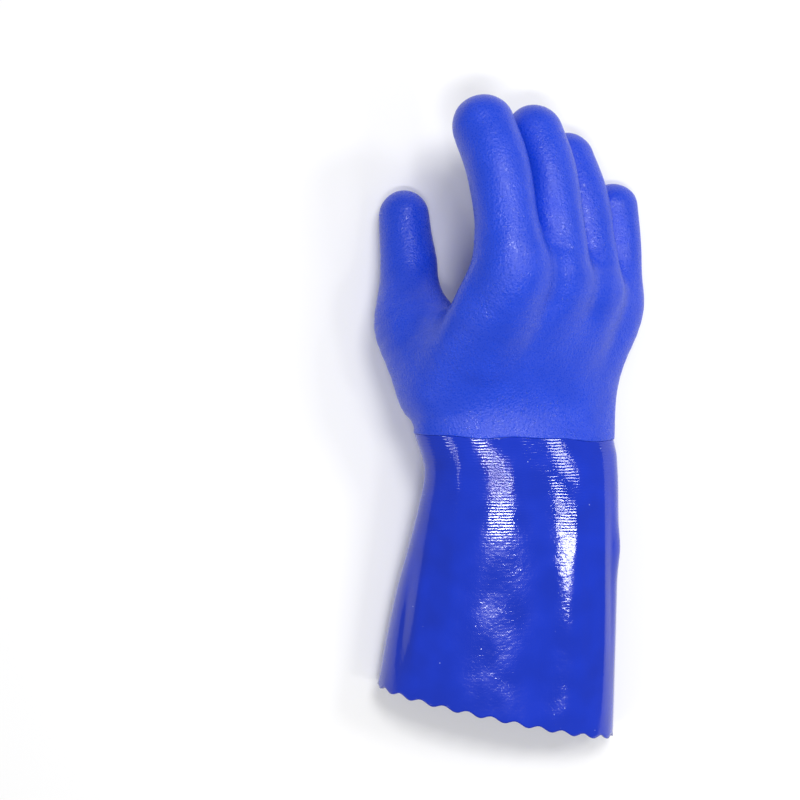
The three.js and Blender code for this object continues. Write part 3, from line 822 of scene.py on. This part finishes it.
def glossy_vinyl(colour):
    """Smooth dipped PVC: a wet gloss over the ribs of the knit that press through."""
    material, tree, shader = new_material("glossy_dipped_pvc")
    shader.inputs["IOR"].default_value = PVC_IOR
    place = add_node(tree, "ShaderNodeTexCoord").outputs["Object"]
    along = add_node(tree, "ShaderNodeSeparateXYZ", Vector=place).outputs["Y"]
    # Courses of the knit, plainest at the wrist where the coat is thin
    wander = add_node(tree, "ShaderNodeTexNoise", Vector=place, Scale=1 / WANDER, Detail=2.0)
    shifted = add_node(tree, "ShaderNodeMath", {"operation": "MULTIPLY_ADD"},
                       _0=wander.outputs["Fac"], _1=RIB_WANDER, _2=along)
    turns = add_node(tree, "ShaderNodeMath", {"operation": "MULTIPLY"},
                     _0=shifted.outputs["Value"], _1=2 * math.pi / KNIT_COURSE)
    courses = add_node(tree, "ShaderNodeMath", {"operation": "SINE"}, _0=turns.outputs["Value"])
    near_wrist = add_node(tree, "ShaderNodeMapRange", {"interpolation_type": "SMOOTHSTEP"},
                          Value=along, From_Min=RIB_FADE[0], From_Max=RIB_FADE[1],
                          To_Min=RIB_SHARES[0], To_Max=RIB_SHARES[1])
    ribs = add_node(tree, "ShaderNodeMath", {"operation": "MULTIPLY"},
                    _0=courses.outputs["Value"], _1=near_wrist.outputs["Result"])
    # Orange peel left by the dip as it runs and cures
    peel = add_node(tree, "ShaderNodeTexNoise", Vector=place, Scale=1 / PEEL, Detail=2.0)
    pebbles = add_node(tree, "ShaderNodeMath", {"operation": "MULTIPLY_ADD"},
                       _0=peel.outputs["Fac"], _1=PEEL_SHARE, _2=ribs.outputs["Value"])
    # Slow sags of the coat that make the streaks waver
    sags = add_node(tree, "ShaderNodeTexNoise", Vector=place, Scale=1 / SAG, Detail=1.0)
    height = add_node(tree, "ShaderNodeMath", {"operation": "MULTIPLY_ADD"},
                      _0=sags.outputs["Fac"], _1=SAG_SHARE, _2=pebbles.outputs["Value"])
    bump = add_node(tree, "ShaderNodeBump", Height=height.outputs["Value"],
                    Strength=1.0, Distance=GLOSSY_BUMP)
    tree.links.new(bump.outputs["Normal"], shader.inputs["Normal"])
    # Specks of dust caught in the coat
    dust = add_node(tree, "ShaderNodeTexVoronoi", Vector=place, Scale=1 / DUST)
    speck = add_node(tree, "ShaderNodeMath", {"operation": "LESS_THAN"},
                     _0=dust.outputs["Distance"], _1=SPECK)
    shade = add_node(tree, "ShaderNodeMapRange", Value=sags.outputs["Fac"],
                     From_Min=0.3, From_Max=0.7, To_Min=0.9, To_Max=1.06)
    tint = add_node(tree, "ShaderNodeVectorMath", {"operation": "SCALE"},
                    Vector=tuple(colour)[:3], Scale=shade.outputs["Result"])
    dusty = add_node(tree, "ShaderNodeMix", {"data_type": "RGBA"},
                     _0=speck.outputs["Value"], _6=tint.outputs["Vector"],
                     _7=linear(DUST_COLOUR))
    tree.links.new(dusty.outputs[2], shader.inputs["Base Color"])
    # Rubbed a little dull where it is handled
    rubbed = add_node(tree, "ShaderNodeMapRange", Value=sags.outputs["Fac"],
                      From_Min=0.35, From_Max=0.7, To_Min=0.06, To_Max=0.13)
    tree.links.new(rubbed.outputs["Result"], shader.inputs["Roughness"])
    return material


def knitted_liner(colour):
    """Knitted cotton liner, soaked with the coat: dull, with rows of loops inside."""
    material, tree, shader = new_material("knitted_cotton_liner")
    shader.inputs["Base Color"].default_value = colour
    shader.inputs["Roughness"].default_value = 0.9
    place = add_node(tree, "ShaderNodeTexCoord").outputs["Object"]
    loops = add_node(tree, "ShaderNodeTexWave", {"bands_direction": "Y"}, Vector=place,
                     Scale=WAVE_BAND / KNIT_COURSE, Distortion=1.5)
    bump = add_node(tree, "ShaderNodeBump", Height=loops.outputs["Fac"],
                    Strength=0.6, Distance=LINER_BUMP)
    tree.links.new(bump.outputs["Normal"], shader.inputs["Normal"])
    return material


def dip_wave(x):
    """How far the dip line wanders along the cuff at a place across it."""
    return sum(height * np.sin(x / radian + phase) for height, radian, phase in DIP_WAVES)


def cut_at_dip_line(obj, wrist):
    """Cuts off what lies behind the wavy dip line and thins the coat down to it."""
    points = points_of(obj)
    x = points[:, 0]
    points[:, 1] -= dip_wave(x) + wrist["slant"] * (x - wrist["x"])
    set_points(obj, points)
    cutter = bmesh.new()
    cutter.from_mesh(obj.data)
    for share in LIP_ROWS:
        parts = cutter.verts[:] + cutter.edges[:] + cutter.faces[:]
        bmesh.ops.bisect_plane(
            cutter, geom=parts, plane_co=(0, share * LIP, 0), plane_no=(0, 1, 0),
            clear_inner=share == 0.0,
        )
    cutter.normal_update()
    for vertex in cutter.verts:
        left = 1 - vertex.co.y / LIP
        if left > 0:
            vertex.co -= vertex.normal * COAT_STEP * (1 - math.sqrt(1 - min(left, 1.0) ** 2))
    cutter.to_mesh(obj.data)
    cutter.free()
    points = points_of(obj)
    x = points[:, 0]
    points[:, 1] += dip_wave(x) + wrist["slant"] * (x - wrist["x"])
    set_points(obj, points)


class GLOVE_OT_hand(bpy.types.Operator):
    """Makes the hand: one skin over the palm, fingers and thumb, with its sandy coat"""

    bl_idname = "glove.hand"
    bl_label = "Hand"

    def execute(self, context):
        scene = context.scene
        form = GloveForm(scene.glove_hand, scene.glove_cuff)
        margin = 3 * HAND_CELL
        reach = np.array(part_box("hand_shell"))
        low = reach[0] + form.origin() - margin - (0, CUT_SPARE, 0)
        high = reach[1] + form.origin() + margin
        shape = tuple(int(n) for n in np.ceil((high - low) / HAND_CELL))
        points, quads = net(form.hand_distance, low, HAND_CELL, shape)
        hand = new_object("hand_skin", points, quads)
        add_modifier(hand, "SUBSURF", levels=1, render_levels=1)
        set_points(hand, settled(points_of(hand), form.hand_distance, 2))
        cut_at_dip_line(hand, form.wrist)
        points = points_of(hand)
        points[:, 2] = np.maximum(points[:, 2], 0)
        set_points(hand, points - form.origin())
        add_modifier(hand, "SOLIDIFY", thickness=scene.glove_hand.wall, offset=-1,
                     material_offset=1, material_offset_rim=0)
        colours = scene.glove_colours
        finish_piece(hand, "hand_shell", [sandy_vinyl(colours.sandy), knitted_liner(colours.liner)])
        return {"FINISHED"}


class GLOVE_OT_cuff(bpy.types.Operator):
    """Makes the gauntlet cuff: a loft down to the pinked hem, with its glossy coat"""

    bl_idname = "glove.cuff"
    bl_label = "Cuff"

    def execute(self, context):
        scene = context.scene
        form = GloveForm(scene.glove_hand, scene.glove_cuff)
        cuff = scene.glove_cuff
        count = round(cuff.length / CUFF_STEP)
        share = np.arange(CUFF_SIDES) / CUFF_SIDES * cuff.scallops
        pinking = cuff.scallop_depth * (0.5 + 0.5 * np.cos(2 * math.pi * share))
        inside = scene.glove_hand.wall + TONGUE_GAP
        # The last rows step inwards under the hand's edge and run on inside it
        rows = [(at, COAT_STEP) for at in np.linspace(-1, LAST_ROWS[0], count)]
        rows += [(at, COAT_STEP) for at in LAST_ROWS[1:]]
        rows += [(FIRST_INSIDE, inside), (TONGUE / cuff.length, inside)]
        rings = []
        for at, inset in rows:
            loop = form.cuff_loop(at, inset)
            loop[:, 1] += pinking * max(0.0, 1 - (at + 1) / WAVE_FADE)
            loop[:, 1] += dip_wave(loop[:, 0]) * max(0.0, 1 + at / WAVE_FADE)
            rings.append(loop)
        points = np.concatenate(rings)
        points[:, 2] = np.maximum(points[:, 2], 0)
        start = np.arange(len(rows) - 1)[:, None] * CUFF_SIDES
        here = np.arange(CUFF_SIDES)[None, :]
        there = (here + 1) % CUFF_SIDES
        quads = np.stack([
            start + here, start + CUFF_SIDES + here, start + CUFF_SIDES + there, start + there,
        ], axis=-1).reshape(-1, 4)
        skin = new_object("cuff_skin", points - form.origin(), quads)
        add_modifier(skin, "SOLIDIFY", thickness=cuff.wall, offset=-1,
                     material_offset=1, material_offset_rim=0)
        colours = scene.glove_colours
        finish_piece(skin, "gauntlet", [glossy_vinyl(colours.glossy), knitted_liner(colours.liner)])
        return {"FINISHED"}


def add_area(name, place, aim, size, power):
    """Adds a soft rectangular light that faces a point."""
    light = bpy.data.lights.new(name, "AREA")
    light.shape = "RECTANGLE"
    light.size, light.size_y = size
    light.energy = power
    obj = bpy.data.objects.new(name, light)
    obj.location = place
    obj.rotation_euler = (Vector(aim) - Vector(place)).to_track_quat("-Z", "Y").to_euler()
    bpy.context.collection.objects.link(obj)
    return obj


class GLOVE_OT_studio(bpy.types.Operator):
    """Makes the pale floor, the soft lights and the camera straight over the glove"""

    bl_idname = "glove.studio"
    bl_label = "Studio"

    def execute(self, context):
        scene = context.scene
        square = np.array([(-1, -1, 0), (1, -1, 0), (1, 1, 0), (-1, 1, 0)])
        floor = new_object("floor", square * FLOOR_HALF, np.array([[0, 1, 2, 3]]))
        material, _, shader = new_material("matt_paper")
        shader.inputs["Base Color"].default_value = scene.glove_colours.floor
        shader.inputs["Roughness"].default_value = 0.8
        floor.data.materials.append(material)
        world = bpy.data.worlds.new("soft_studio")
        world.use_nodes = True
        background = world.node_tree.nodes["Background"]
        background.inputs["Color"].default_value = (1, 1, 1, 1)
        background.inputs["Strength"].default_value = WORLD_STRENGTH
        scene.world = world
        scene.view_settings.view_transform = "Standard"
        for row in table(LIGHT_COLUMNS, LIGHTS):
            add_area(**row)
        lens = bpy.data.cameras.new("camera")
        lens.lens = LENS
        lens.sensor_width = SENSOR
        camera = bpy.data.objects.new("camera", lens)
        form = GloveForm(scene.glove_hand, scene.glove_cuff)
        camera.location = Vector(CAMERA_PLACE) - Vector(form.origin())
        scene.collection.objects.link(camera)
        scene.camera = camera
        return {"FINISHED"}


class GLOVE_PT_panel(bpy.types.Panel):
    """Lists the steps of the glove"""

    bl_label = "Glove"
    bl_idname = "GLOVE_PT_panel"
    bl_space_type = "VIEW_3D"
    bl_region_type = "UI"
    bl_category = "Glove"

    def draw(self, context):
        for step in STEPS:
            self.layout.operator(step.bl_idname)


STEPS = (GLOVE_OT_hand, GLOVE_OT_cuff, GLOVE_OT_studio)
GROUPS = {"glove_hand": HandSizes, "glove_cuff": CuffSizes, "glove_colours": GloveColours}


def register():
    for group in GROUPS.values():
        bpy.utils.register_class(group)
    for name, group in GROUPS.items():
        setattr(bpy.types.Scene, name, PointerProperty(type=group))
    for step in (*STEPS, GLOVE_PT_panel):
        bpy.utils.register_class(step)


def unregister():
    for step in (*STEPS, GLOVE_PT_panel):
        bpy.utils.unregister_class(step)
    for name, group in GROUPS.items():
        delattr(bpy.types.Scene, name)
        bpy.utils.unregister_class(group)


def main():
    register()
    bpy.ops.glove.hand()
    bpy.ops.glove.cuff()
    bpy.ops.glove.studio()


if __name__ == "__main__":
    main()
